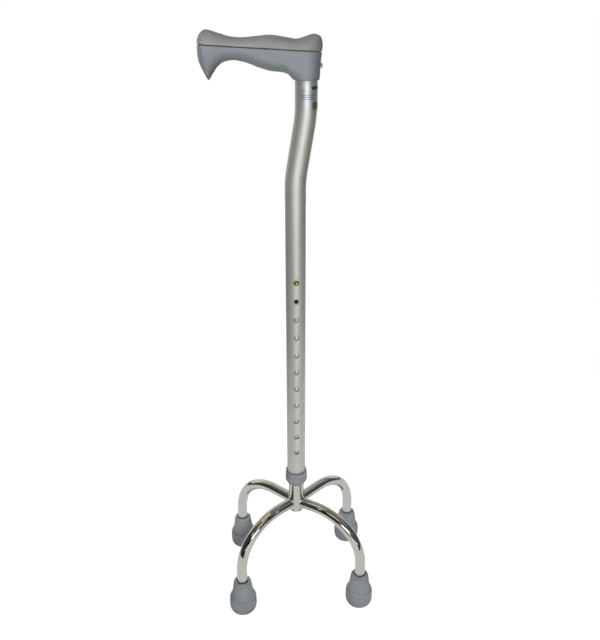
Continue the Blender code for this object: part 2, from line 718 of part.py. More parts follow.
def make_lower_shell(parts, group, handle, groove):
    name = "handle_lower_shell"
    shell = place(name, handle_form(name), parts, handle, look="cool_grey_plastic")
    boolean(shell, cutter("below_seam", seam_slab("below_seam", -0.1, -GAP / 2), group, handle), "INTERSECT")
    tongue = inner_form("tongue", group, handle, TONGUE_INSET, -0.003, TONGUE_HEIGHT, fine=0.7, rows=10)
    hollow = inner_form("lower_hollow", group, handle, SHELL_WALL, -0.1, 0.01, fine=0.5, rows=8,
                        end=-NECK_RADIUS - 0.002)
    bosses = posts("bosses", group, handle, PIN_RADIUS + 0.0018, lambda x: bottom_line(x) + SHELL_WALL / 2,
                   lambda x: seam_height(x) - 0.001)
    sockets = posts("sockets", group, handle, PIN_RADIUS + GAP, lambda x: seam_height(x) - PIN_DEPTH - 0.001,
                    lambda x: seam_height(x) + 0.001)
    bore = cylinder("socket_bore", TUBE_RADIUS + GAP, (0, 0, -0.01), (0, 0, 0.05), 40)
    hole = cylinder("socket_screw_hole", 0.0021, (0.010, 0, SCREW_Z), (0.030, 0, SCREW_Z), 14)
    boolean(shell, groove)
    boolean(shell, tongue, "UNION")
    boolean(shell, hollow)
    boolean(shell, cross_ribs("lower_ribs", group, handle, LOWER_RIBS, -0.1, -0.0010), "UNION")
    boolean(shell, bosses, "UNION")
    boolean(shell, sockets)
    boolean(shell, cutter("socket_bore", bore, group, handle))
    boolean(shell, cutter("socket_screw_hole", hole, group, handle))
    smooth(shell.data)


def make_handle(parts, group, handle):
    """Two mouldings that meet at the seam: a tongue, a rebate and two pins locate them."""
    groove = cutter("seam_groove", seam_slab("seam_groove", -SEAM_GROOVE, SEAM_GROOVE), group, handle)
    core = cutter("groove_core", handle_form("groove_core", SEAM_GROOVE, fine=0.7, rows=10), group, handle)
    boolean(groove, core)
    make_upper_shell(parts, group, handle, groove)
    make_lower_shell(parts, group, handle, groove)


def make_screw(parts, handle):
    """Pan-head screw at the back of the socket, through the handle and the tube."""
    seat, head = SCREW_SEAT, SCREW_HEAD_RADIUS
    dome = [(0.0, seat + 0.0015), (head * 0.45, seat + 0.0014), (head * 0.8, seat + 0.0010),
            (head, seat + 0.0003)]
    profile = [*dome, (head, seat), (0.00175, seat), (0.00175, SCREW_TIP + 0.0014), (0.0008, SCREW_TIP),
               (0.0, SCREW_TIP)]
    screw = turned("handle_screw", profile, parts, handle, (0, 0, SCREW_Z), "zinc_steel", 16)
    screw.rotation_euler.y = math.pi / 2


def main():
    clear_scene()
    parts = new_collection("quad_cane")
    cutters = new_collection("cutters")
    base = guide("base_frame", None, (STEM_X, STEM_Y, 0))
    upper = guide("height_slide", base, (0, 0, 0))
    slide = guide("button_press", base, (0, 0, BUTTON_Z))
    handle = guide("handle_frame", upper, (NECK_OFFSET, 0, LIP_Z))
    stem_cut = make_stem(parts, cutters, base)
    make_legs(parts, cutters, base, stem_cut)
    make_feet(parts, base)
    make_button(parts, cutters, base, slide)
    make_tube(parts, cutters, upper)
    make_collar(parts, upper)
    make_label(parts, upper)
    make_handle(parts, cutters, handle)
    make_screw(parts, handle)


main()
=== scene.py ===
import math

import bmesh
import bpy
import numpy as np
from bpy.props import FloatProperty, FloatVectorProperty, IntProperty, PointerProperty
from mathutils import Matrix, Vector


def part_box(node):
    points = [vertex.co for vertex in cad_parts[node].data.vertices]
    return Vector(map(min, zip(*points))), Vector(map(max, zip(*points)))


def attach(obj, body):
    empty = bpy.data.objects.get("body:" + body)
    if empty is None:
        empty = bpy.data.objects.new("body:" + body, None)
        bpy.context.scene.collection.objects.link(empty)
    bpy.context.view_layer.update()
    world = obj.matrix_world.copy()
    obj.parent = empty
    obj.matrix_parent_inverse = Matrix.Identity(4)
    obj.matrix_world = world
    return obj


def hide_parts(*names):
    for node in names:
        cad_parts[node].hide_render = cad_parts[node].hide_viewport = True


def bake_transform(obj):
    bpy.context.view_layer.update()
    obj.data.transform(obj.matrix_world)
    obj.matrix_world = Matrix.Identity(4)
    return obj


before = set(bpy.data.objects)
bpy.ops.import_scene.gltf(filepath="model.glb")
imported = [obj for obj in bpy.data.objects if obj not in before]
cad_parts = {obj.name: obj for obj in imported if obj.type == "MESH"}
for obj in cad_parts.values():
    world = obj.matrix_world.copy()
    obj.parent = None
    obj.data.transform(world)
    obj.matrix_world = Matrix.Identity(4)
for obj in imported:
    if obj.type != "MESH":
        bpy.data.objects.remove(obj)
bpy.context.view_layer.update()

bl_info = {
    "name": "Quad cane dressing",
    "version": (1, 0, 0),
    "blender": (4, 5, 0),
    "location": "3D View > Sidebar > Cane",
    "description": "Dresses a packed quad cane: handle, tube, chromed base, rubber feet and studio",
    "category": "Object",
}


def middle(node):
    low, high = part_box(node)
    return (low + high) / 2


# Sizes that several pieces share, in metres
TUBE_RADIUS = 0.0127
TUBE_FOOT_Z = 0.1862
NECK_OFFSET = 0.0124
STEM_RADIUS = 0.0107
BUTTON_Z = 0.4934
HOLE_RADIUS = 0.0035
BUTTON_NECK = 0.0012
LEAF_FRONT, LEAF_THICK = 0.0085, 0.0006
GAP = 0.0003

# Places that the frame gives
STEM = Vector((middle("base_stem").x, middle("base_stem").y, 0.0))
NECK = Vector((STEM.x + NECK_OFFSET, STEM.y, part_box("handle_lower_shell")[0].z))
FEET = ("front_left", "front_right", "rear_left", "rear_right")


# Working in Blender

def fresh():
    """Object mode, with nothing selected."""
    if bpy.context.object and bpy.context.object.mode != "OBJECT":
        bpy.ops.object.mode_set(mode="OBJECT")
    bpy.ops.object.select_all(action="DESELECT")


def chosen(piece):
    """Object mode, with one piece selected and active."""
    fresh()
    piece.select_set(True)
    bpy.context.view_layer.objects.active = piece


def named(name):
    """The piece that was just added, under its name."""
    piece = bpy.context.object
    piece.name = name
    piece.data.name = name
    return piece


def edit(piece):
    chosen(piece)
    bpy.ops.object.mode_set(mode="EDIT")
    bpy.ops.mesh.select_all(action="DESELECT")


def pick(piece, kind, test):
    """In edit mode, selects the edges or faces that pass a test, and nothing else."""
    bpy.ops.mesh.select_all(action="DESELECT")
    bpy.ops.mesh.select_mode(type={"edges": "EDGE", "faces": "FACE"}[kind])
    work = bmesh.from_edit_mesh(piece.data)
    for part in getattr(work, kind):
        part.select_set(bool(test(part)))
    work.select_flush_mode()
    bmesh.update_edit_mesh(piece.data)


def extrude(step):
    bpy.ops.mesh.extrude_region_move(TRANSFORM_OT_translate={"value": step})


def applied(piece, kind, **settings):
    """Adds a modifier with its settings and applies it."""
    chosen(piece)
    step = piece.modifiers.new(kind.lower(), kind)
    for key, value in settings.items():
        setattr(step, key, value)
    bpy.ops.object.modifier_apply(modifier=step.name)


def cut(piece, tool):
    applied(piece, "BOOLEAN", operation="DIFFERENCE", solver="EXACT", object=tool)
    bpy.data.objects.remove(tool, do_unlink=True)


def soften(piece, width, segments, degrees):
    applied(piece, "BEVEL", width=width, segments=segments, limit_method="ANGLE",
            angle_limit=math.radians(degrees), use_clamp_overlap=True, harden_normals=False)


def drill(piece, bit, radius, depth, place, tilt=math.pi / 2, sides=40):
    """A round hole from the front, or at another tilt, with the bit's middle at a place."""
    fresh()
    bpy.ops.mesh.primitive_cylinder_add(vertices=sides, radius=radius, depth=depth, location=place,
                                        rotation=(tilt, 0, 0))
    cut(piece, named(bit))


def ring(name, sides, radius, centre, fill="NOTHING"):
    """A new piece in edit mode: one level circle, selected."""
    fresh()
    bpy.ops.mesh.primitive_circle_add(vertices=sides, radius=radius, fill_type=fill, location=centre)
    piece = named(name)
    bpy.ops.object.mode_set(mode="EDIT")
    bpy.ops.mesh.select_all(action="SELECT")
    return piece


def drawn(name, points):
    """A new piece in edit mode: one line of edges, drawn from point to point and selected."""
    piece = ring(name, 3, 0.001, (0, 0, 0))
    bpy.ops.mesh.select_mode(type="VERT")
    bpy.ops.mesh.select_all(action="SELECT")
    bpy.ops.mesh.merge(type="CENTER")
    bpy.ops.transform.translate(value=points[0])
    for here, there in zip(points[:-1], points[1:]):
        bpy.ops.mesh.extrude_vertices_move(TRANSFORM_OT_translate={"value": there - here})
    bpy.ops.mesh.select_all(action="SELECT")
    return piece


def spun(name, outline, centre, along=(0, 0, 1), out=(1, 0, 0), steps=64):
    """A turned piece: an outline of (radius, height) drawn point by point, then spun once round."""
    centre, along, out = Vector(centre), Vector(along), Vector(out)
    piece = drawn(name, [centre + out * r + along * h for r, h in outline])
    bpy.ops.mesh.spin(steps=steps, angle=math.tau, center=centre, axis=along)
    tidy()
    return piece


def tidy():
    """In edit mode: merges doubles, turns faces outwards, and goes back to object mode."""
    bpy.ops.mesh.select_all(action="SELECT")
    bpy.ops.mesh.remove_doubles(threshold=0.000004)
    bpy.ops.mesh.normals_make_consistent(inside=False)
    bpy.ops.object.mode_set(mode="OBJECT")


def smooth(piece, degrees):
    chosen(piece)
    bpy.ops.object.shade_smooth_by_angle(angle=math.radians(degrees))


def dress(piece, material):
    piece.data.materials.clear()
    piece.data.materials.append(material)


def done(piece, body, slot, material, *nodes):
    """Puts the finished piece's place into its mesh, dresses it, hangs it on its body if it has one, and hides
    the CAD nodes that it replaces."""
    chosen(piece)
    bpy.ops.object.transform_apply(location=True, rotation=True, scale=True)
    dress(piece, material)
    if body:
        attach(piece, body)
    if nodes:
        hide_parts(*nodes)


# Finishes

ZINC = (0.50, 0.51, 0.52)


def surface(name, colour, rough, metal=0.0):
    """A new material with its node tree and its shader."""
    material = bpy.data.materials.new(name)
    material.use_nodes = True
    tree = material.node_tree
    shader = tree.nodes["Principled BSDF"]
    shader.inputs["Base Color"].default_value = (*colour, 1)
    shader.inputs["Roughness"].default_value = rough
    shader.inputs["Metallic"].default_value = metal
    return material, tree, shader


def add(tree, kind, links=(), **settings):
    """A node with its settings, and its inputs linked or set by name or place."""
    node = tree.nodes.new(kind)
    values = settings.pop("values", {})
    for key, value in settings.items():
        setattr(node, key, value)
    for key, value in values.items():
        node.inputs[key].default_value = value
    for key, socket in dict(links).items():
        tree.links.new(socket, node.inputs[key])
    return node


def maths(tree, operation, first, second):
    """What a Math node makes of two sockets."""
    return add(tree, "ShaderNodeMath", {0: first, 1: second}, operation=operation).outputs[0]


def axes(tree):
    """The X, Y and Z sockets of a place in the object's own metres."""
    place = add(tree, "ShaderNodeTexCoord")
    return add(tree, "ShaderNodeSeparateXYZ", {"Vector": place.outputs["Object"]}).outputs


def grain(tree, size, stretch=(1, 1, 1), detail=4, rough=0.6, distortion=0.0):
    """Noise in the object's own metres, about size metres from lump to lump."""
    place = add(tree, "ShaderNodeTexCoord")
    scaled = add(tree, "ShaderNodeMapping", {"Vector": place.outputs["Object"]}, values={"Scale": stretch})
    noise = add(tree, "ShaderNodeTexNoise", {"Vector": scaled.outputs["Vector"]},
                values={"Scale": 1 / size, "Detail": detail, "Roughness": rough, "Distortion": distortion})
    return noise.outputs["Fac"]


def spread(tree, socket, low, high, start=0.3, end=0.7):
    """Maps a value between start and end on to the range from low to high."""
    return add(tree, "ShaderNodeMapRange", {"Value": socket},
               values={"From Min": start, "From Max": end, "To Min": low, "To Max": high}).outputs["Result"]


def blend_colours(tree, factor, first, second):
    """Mixes two colours, each a socket or a plain colour."""
    node = add(tree, "ShaderNodeMix", data_type="RGBA")
    for key, value in (("A", first), ("B", second)):
        place = [s for s in node.inputs if s.name == key and s.type == "RGBA"][0]
        if isinstance(value, bpy.types.NodeSocket):
            tree.links.new(value, place)
        else:
            place.default_value = (*value, 1)
    tree.links.new(factor, node.inputs["Factor"])
    return [s for s in node.outputs if s.type == "RGBA"][0]


def shade(colour, factor):
    return tuple(min(c * factor, 1.0) for c in colour)


def mottled(tree, noise, colour, first, second):
    """A colour that goes with the noise from one shade of itself to another."""
    return blend_colours(tree, spread(tree, noise, 0, 1), shade(colour, first), shade(colour, second))


def paint(tree, shader, colour, rough):
    tree.links.new(colour, shader.inputs["Base Color"])
    tree.links.new(rough, shader.inputs["Roughness"])


def bump(tree, shader, socket, depth, strength, under=None):
    """Relief so many metres deep, over another where there is one."""
    node = add(tree, "ShaderNodeBump", {"Height": socket}, values={"Distance": depth, "Strength": strength})
    if under:
        tree.links.new(under.outputs["Normal"], node.inputs["Normal"])
    tree.links.new(node.outputs["Normal"], shader.inputs["Normal"])
    return node


def moulded_plastic(name, colour, rough=0.42):
    """Satin injection-moulded plastic: fine spark-eroded grain, faint flow marks and handling dust."""
    material, tree, shader = surface(name, colour, rough)
    fine = grain(tree, 0.00045, detail=3)
    flow = grain(tree, 0.020, stretch=(0.35, 1, 1), detail=2, distortion=0.6)
    dust = grain(tree, 0.0035, detail=6, rough=0.75)
    toned = mottled(tree, flow, colour, 0.955, 1.04)
    dusty = blend_colours(tree, spread(tree, dust, 0, 0.10, 0.55, 0.8), toned, shade(colour, 1.6))
    paint(tree, shader, dusty, spread(tree, dust, rough - 0.04, rough + 0.06))
    under = bump(tree, shader, fine, 0.000015, 0.4)
    bump(tree, shader, flow, 0.00008, 0.3, under)
    return material


def foot_rubber(colour):
    """Matt rubber: dull, slightly mottled, and darker in mottled patches towards the bottom, where it meets
    the floor.
    """
    material, tree, shader = surface("foot_rubber", colour, 0.62)
    mottle = grain(tree, 0.006, detail=5, rough=0.7)
    fine = grain(tree, 0.0006, detail=3)
    toned = mottled(tree, mottle, colour, 0.90, 1.08)
    # Darker towards the bottom in mottled patches, fading out 16 mm above the floor
    low = spread(tree, axes(tree)["Z"], 0.85, 0.0, 0.002, 0.016)
    darker_low_mask = maths(tree, "MULTIPLY", low, spread(tree, mottle, 0.2, 1))
    darkened_low = blend_colours(tree, darker_low_mask, toned, (0.135, 0.14, 0.135))
    paint(tree, shader, darkened_low, spread(tree, mottle, 0.56, 0.70))
    under = bump(tree, shader, fine, 0.00002, 0.4)
    bump(tree, shader, mottle, 0.00006, 0.3, under)
    return material


def anodised_tube(colour):
    """Satin anodised aluminium: fine draw lines along the tube and a soft, slightly cloudy sheen."""
    material, tree, shader = surface("anodised_tube", colour, 0.50, metal=0.80)
    lines = grain(tree, 0.0004, stretch=(1, 1, 0.012), detail=3)
    cloud = grain(tree, 0.035, detail=3)
    fine = grain(tree, 0.0003, detail=2)
    toned = mottled(tree, lines, colour, 0.96, 1.03)
    clouded = blend_colours(tree, spread(tree, cloud, 0, 0.5), toned, shade(colour, 0.95))
    paint(tree, shader, clouded, spread(tree, cloud, 0.47, 0.53))
    under = bump(tree, shader, lines, 0.000012, 0.4)
    bump(tree, shader, fine, 0.00001, 0.3, under)
    return material


def chrome_plate(colour):
    """Bright plating on steel: a mirror with faint polishing waves and a few hairline scratches."""
    material, tree, shader = surface("chrome_plate", colour, 0.05, metal=1.0)
    wave = grain(tree, 0.016, detail=2)
    haze = grain(tree, 0.008, detail=5, rough=0.7)
    hair = grain(tree, 0.0006, stretch=(1, 0.05, 1), detail=2, distortion=1.5)
    scratched = spread(tree, hair, 0.0, 0.03, 0.66, 0.74)
    hazy = spread(tree, haze, 0.035, 0.065)
    paint(tree, shader, mottled(tree, haze, colour, 1, 0.965), maths(tree, "ADD", scratched, hazy))
    bump(tree, shader, wave, 0.000006, 0.2)
    return material


def worked_metal(name, colour, rough):
    """Small metal parts: plated or turned, with a slightly uneven sheen."""
    material, tree, shader = surface(name, colour, rough, metal=1.0)
    uneven = grain(tree, 0.0012)
    paint(tree, shader, mottled(tree, uneven, colour, 0.86, 1.08),
          spread(tree, uneven, rough - 0.06, rough + 0.08))
    bump(tree, shader, uneven, 0.00002, 0.4)
    return material


def label_film(colour):
    """Bare silver film, with plain bands where a printed label would have them."""
    material, tree, shader = surface("label_film", colour, 0.36, metal=0.74)
    weave = grain(tree, 0.0050, stretch=(1, 1, 0.3), detail=3)
    place, blur = axes(tree), 0.00025
    low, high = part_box("tube_label")

    def band(axis, start, end):
        inside = spread(tree, place[axis], 0, 1, start - blur, start + blur)
        outside = spread(tree, place[axis], 1, 0, end - blur, end + blur)
        return maths(tree, "MULTIPLY", inside, outside)

    toned = mottled(tree, weave, colour, 0.93, 1.05)
    # Each mark's left and right from the tube's axis, its foot, its top and its colour
    for left, right, foot, top, ink in (
        (0.0052, 0.02, high.z - 0.0082, high.z - 0.0046, (0.02, 0.16, 0.11)),
        (0.0062, 0.02, low.z + 0.0022, low.z + 0.0096, (0.22, 0.26, 0.05)),
        (-0.0065, -0.0012, high.z - 0.0102, high.z - 0.0095, (0.10, 0.30, 0.27)),
        (-0.0065, 0.0100, high.z - 0.0140, high.z - 0.0134, (0.04, 0.045, 0.05)),
        (-0.0065, 0.0080, high.z - 0.0162, high.z - 0.0156, (0.06, 0.065, 0.07)),
        (-0.0065, 0.0090, high.z - 0.0184, high.z - 0.0178, (0.06, 0.065, 0.07)),
    ):
        patch = maths(tree, "MULTIPLY", band("X", NECK.x + left, NECK.x + right), band("Z", foot, top))
        toned = blend_colours(tree, patch, toned, ink)
    paint(tree, shader, toned, spread(tree, weave, 0.33, 0.39))
    return material


# The handle's outline in tenths of a millimetre, from the neck's axis and the rim of its socket

TOP_LINE = [(-1191, 300), (-1189, 375), (-1179, 432), (-1146, 487), (-1093, 517), (-955, 482),
            (-834, 449), (-714, 438), (-555, 451), (-403, 463), (-230, 442), (-108, 424), (-20, 446),
            (85, 473), (142, 457), (172, 417), (181, 366)]
BOTTOM_LINE = [(-1191, 290), (-1187, 230), (-1167, 161), (-1128, 77), (-1096, 17), (-1081, 2),
               (-1064, 18), (-1037, 58), (-968, 148), (-903, 190), (-805, 207), (-700, 191),
               (-507, 125), (-400, 95), (-254, 77), (-203, 59), (-158, 14), (-140, 0), (136, 0),
               (147, 12), (153, 50), (162, 200), (171, 287), (181, 355)]
PLAN_LINE = [(-1100, 125), (-900, 134), (-720, 138), (-400, 160), (-150, 160), (0, 160)]

# Its other sizes, in metres. CROWN_ROUND is a share of the height above the seam, and a station
# is a share of the ball's length and where that goes.

FLARE_HEIGHTS = [0.0, 0.0012, 0.0057, 0.0075]
FLARE_REACHES = [0.0142, 0.0160, 0.0206, 0.0262]
NOSE_REACH, TAIL_REACH = 0.1191, 0.0181
NECK_RADIUS, NOSE_ROUND, LIP_ROUND, END_FACE = 0.0156, 0.0091, 0.0012, 0.0002
SEAM_AT_NECK, SEAM_SLOPE = 0.0301, -0.0545
BEAK_ROUND, GRIP_ROUND, CROWN_ROUND = 0.024, 0.0125, 0.92
WIDENS_UP, NEARS_NECK, FLARES = (0.010, 0.0365), (-0.050, 0.0), (-0.070, -0.040)
BEAK_ENDS, LIP_STARTS = (-0.100, -0.085), (-0.026, -0.013)
STATIONS = [(0.0, -0.1191), (0.15, -0.1081), (0.28, -0.0920), (0.55, -0.0300), (0.75, -0.0110),
            (0.85, 0.0120), (1.0, 0.0181)]


def through(points):
    """A smooth line through points, which never swings past them."""
    x, y = np.array(points).T / 10000
    step = np.diff(x)
    slope = np.diff(y) / step
    tangent = np.zeros(len(x))
    tangent[0], tangent[-1] = slope[0], slope[-1]
    for i in range(1, len(x) - 1):
        if slope[i - 1] * slope[i] > 0:
            near, far = step[i] * 2 + step[i - 1], step[i] + step[i - 1] * 2
            tangent[i] = (near + far) / (near / slope[i - 1] + far / slope[i])

    def line(at):
        i = int(np.clip(np.searchsorted(x, at) - 1, 0, len(step) - 1))
        t = float(np.clip((at - x[i]) / step[i], 0, 1))
        start = (1 + 2 * t) * (1 - t) ** 2 * y[i] + t * (1 - t) ** 2 * step[i] * tangent[i]
        end = t * t * (3 - 2 * t) * y[i + 1] - t * t * (1 - t) * step[i] * tangent[i + 1]
        return start + end

    return line


top_line, bottom_line, plan_line = through(TOP_LINE), through(BOTTOM_LINE), through(PLAN_LINE)


def ease(value, low, high):
    """0 up to low, 1 from high on, and a smooth rise between them."""
    t = min(max((value - low) / (high - low), 0.0), 1.0)
    return t * t * (3 - 2 * t)


def round_off(depth, radius, power=2.3):
    """0 at the edge, rising to 1 at one radius in."""
    t = min(max(depth / radius, 0.0), 1.0)
    return (1 - (1 - t) ** power) ** (1 / power)


def half_width(x, z):
    """Half the handle's width at a place, before its keel and crown are rounded."""
    nose = -NOSE_REACH - END_FACE
    if x < nose + NOSE_ROUND:
        return plan_line(nose + NOSE_ROUND) * round_off(x - nose, NOSE_ROUND)
    fullness = ease(z, *WIDENS_UP)
    width = NECK_RADIUS + (plan_line(0) - NECK_RADIUS) * fullness
    if x > 0:
        reach = NECK_RADIUS + (TAIL_REACH + END_FACE - NECK_RADIUS) * fullness
        return width * math.sqrt(max(1 - (x / reach) ** 2, 0.0))
    near = ease(x, *NEARS_NECK)
    above = max(z - FLARE_HEIGHTS[-1], 0.0)
    flare = np.interp(z, FLARE_HEIGHTS, FLARE_REACHES) + 8 * above + 1500 * above ** 2
    drawn_in = min(-x / flare, 1.0) ** 2 * ease(x, *FLARES)
    return (plan_line(x) * (1 - near) + width * near) * math.sqrt(1 - drawn_in)


def on_section(x, turn):
    """The (y, z) of a point up one side of the handle: turn is 0 at its keel and 1 at its crown."""
    low, high = bottom_line(x), top_line(x)
    seam = min(max(SEAM_AT_NECK + SEAM_SLOPE * x, low), high)
    beak = 1 - ease(x, *BEAK_ENDS)
    lip = ease(x, *LIP_STARTS)
    low_round = BEAK_ROUND * beak + GRIP_ROUND * (1 - beak) * (1 - lip) + LIP_ROUND * lip
    high_round = max(CROWN_ROUND * (high - seam), 0.001)
    rise = math.cos(math.pi * turn)
    z = low + (seam - low) * (1 - rise) if rise > 0 else seam - (high - seam) * rise
    y = half_width(x, z)
    flat = lip * max(1 - LIP_ROUND / max(y, LIP_ROUND), 0.0)
    y *= flat + (1 - flat) * round_off(z - low, low_round)
    return y * round_off(high - z, high_round), z


def handle_blank(name):
    """A ball with its poles at the nose and the tail, formed to the handle's sections."""
    fresh()
    bpy.ops.mesh.primitive_uv_sphere_add(segments=96, ring_count=150, radius=1, rotation=(0, math.pi / 2, 0))
    piece = named(name)
    bpy.ops.object.transform_apply(location=False, rotation=True, scale=False)
    shares, places = zip(*STATIONS)
    for vertex in piece.data.vertices:
        along = math.acos(min(max(-vertex.co.x, -1), 1)) / math.pi
        if along < shares[1]:
            along = shares[1] * (1 - math.cos(along / shares[1] * math.pi / 2))
        if along > shares[-2]:
            last = 1 - shares[-2]
            along = shares[-2] + last * math.sin((along - shares[-2]) / last * math.pi / 2)
        x = float(np.interp(along, shares, places))
        turn = math.atan2(abs(vertex.co.y), -vertex.co.z) / math.pi
        y, z = on_section(x, turn)
        if math.hypot(vertex.co.y, vertex.co.z) < 1e-5:
            y, z = 0.0, (bottom_line(x) + top_line(x)) / 2
        vertex.co = (x, math.copysign(y, vertex.co.y) if abs(vertex.co.y) > 1e-6 else 0.0, z)
    piece.location = NECK
    chosen(piece)
    bpy.ops.object.transform_apply(location=True, rotation=False, scale=False)
    edit(piece)
    tidy()
    return piece


# The seam's plane, and its groove's depth at the sides and at the ends

SEAM_POINT = NECK + Vector((0, 0, SEAM_AT_NECK))
SEAM_NORMAL = Vector((-SEAM_SLOPE, 0, 1)).normalized()
SEAM_DEPTH, SEAM_END_DEPTH = 0.0060, 0.0014


def at_seam(piece, above, groove, lip):
    """Cuts a handle blank at the seam, keeps one side, steps its rim back for the groove and rounds it."""
    side = 1 if above else -1
    level = SEAM_POINT + SEAM_NORMAL * side * groove / 2

    def off_cut(place):
        return abs((place - level).dot(SEAM_NORMAL))

    edit(piece)
    bpy.ops.mesh.select_all(action="SELECT")
    bpy.ops.mesh.bisect(plane_co=level, plane_no=SEAM_NORMAL, use_fill=True,
                        clear_inner=above, clear_outer=not above)
    # The flat face that the cut leaves, whose core is raised
    pick(piece, "faces", lambda face: off_cut(face.calc_center_median()) < 1e-5 and len(face.verts) > 20)
    bpy.ops.mesh.inset(thickness=SEAM_DEPTH)
    half = (NOSE_REACH + TAIL_REACH) / 2
    longer = (half - SEAM_END_DEPTH) / (half - SEAM_DEPTH)
    halfway = level + Vector((1, 0, SEAM_SLOPE)) * (TAIL_REACH - half)
    bpy.ops.transform.resize(value=(longer, 1, longer), center_override=halfway)
    extrude(-SEAM_NORMAL * side * (groove - GAP) / 2)
    # The rim's edge, between the cut and the moulding's side
    pick(piece, "edges", lambda edge: all(off_cut(v.co) < 1e-6 for v in edge.verts)
         and any(abs(f.normal.dot(SEAM_NORMAL)) < 0.9 for f in edge.link_faces)
         and max(off_cut(f.calc_center_median()) for f in edge.link_faces) > 0.00005)
    bpy.ops.mesh.bevel(offset=lip, segments=3, affect="EDGES", clamp_overlap=True)
    tidy()


class CaneSizes(bpy.types.PropertyGroup):
    seam_groove: FloatProperty(name="Seam groove", description="Width of the groove between the two mouldings",
                               default=0.0012, subtype="DISTANCE", unit="LENGTH")
    seam_lip: FloatProperty(name="Seam lip", description="Rounding of the mouldings' edges at the seam",
                            default=0.00035, subtype="DISTANCE", unit="LENGTH")
    weld_fillet: FloatProperty(name="Weld fillet", description="Width of the fillet round each leg's end",
                               default=0.0036, subtype="DISTANCE", unit="LENGTH")
    hole_chamfer: FloatProperty(name="Hole chamfer", description="Chamfer round each height hole",
                                default=0.0005, subtype="DISTANCE", unit="LENGTH")
    turning: IntProperty(name="Turning", description="Faces round ferrules and collar", default=80, min=24)


class CaneFinishes(bpy.types.PropertyGroup):
    upper_grip: FloatVectorProperty(name="Upper moulding", description="Colour of the warm grey moulding",
                                    default=(0.245, 0.252, 0.244), subtype="COLOR", min=0, max=1)
    lower_grip: FloatVectorProperty(name="Lower moulding", description="Colour of the cool grey moulding",
                                    default=(0.200, 0.222, 0.244), subtype="COLOR", min=0, max=1)
    collar: FloatVectorProperty(name="Collar", description="Colour of the collar on the tube's end",
                                default=(0.185, 0.200, 0.210), subtype="COLOR", min=0, max=1)
    rubber: FloatVectorProperty(name="Rubber", description="Colour of the rubber feet",
                                default=(0.203, 0.227, 0.244), subtype="COLOR", min=0, max=1)
    tube: FloatVectorProperty(name="Tube", description="Colour of the anodised tube",
                              default=(0.66, 0.66, 0.62), subtype="COLOR", min=0, max=1)
    chrome: FloatVectorProperty(name="Chrome", description="Colour of the chromed stem and legs",
                                default=(0.62, 0.62, 0.59), subtype="COLOR", min=0, max=1)
    brass: FloatVectorProperty(name="Brass", description="Colour of the snap button",
                               default=(0.56, 0.46, 0.17), subtype="COLOR", min=0, max=1)
    film: FloatVectorProperty(name="Film", description="Colour of the bare label film",
                              default=(0.56, 0.585, 0.62), subtype="COLOR", min=0, max=1)


class CaneStage(bpy.types.PropertyGroup):
    window: FloatProperty(name="Window light", description="Power of the large soft light behind the camera",
                          default=8.5, unit="POWER", min=0)
    sunlit: FloatProperty(name="Sunlit floor", description="Power of the sunlit floor under the window",
                          default=68.0, unit="POWER", min=0)
    lamp: FloatProperty(name="Lamp", description="Power of the right lamp, whose grid keeps it to the base",
                        default=1.0, unit="POWER", min=0)
    soft: FloatProperty(name="Soft box", description="Power of the soft box on the left",
                        default=3.5, unit="POWER", min=0)
    back: FloatProperty(name="Back light", description="Power of the soft box behind the cane",
                        default=26.0, unit="POWER", min=0)
    world: FloatProperty(name="Ambient", description="Strength of the even light from all round",
                         default=0.22, min=0)
    paper: FloatProperty(name="Paper", description="How much of the floor's own white shows over its shading",
                         default=0.80, min=0, max=1, subtype="FACTOR")


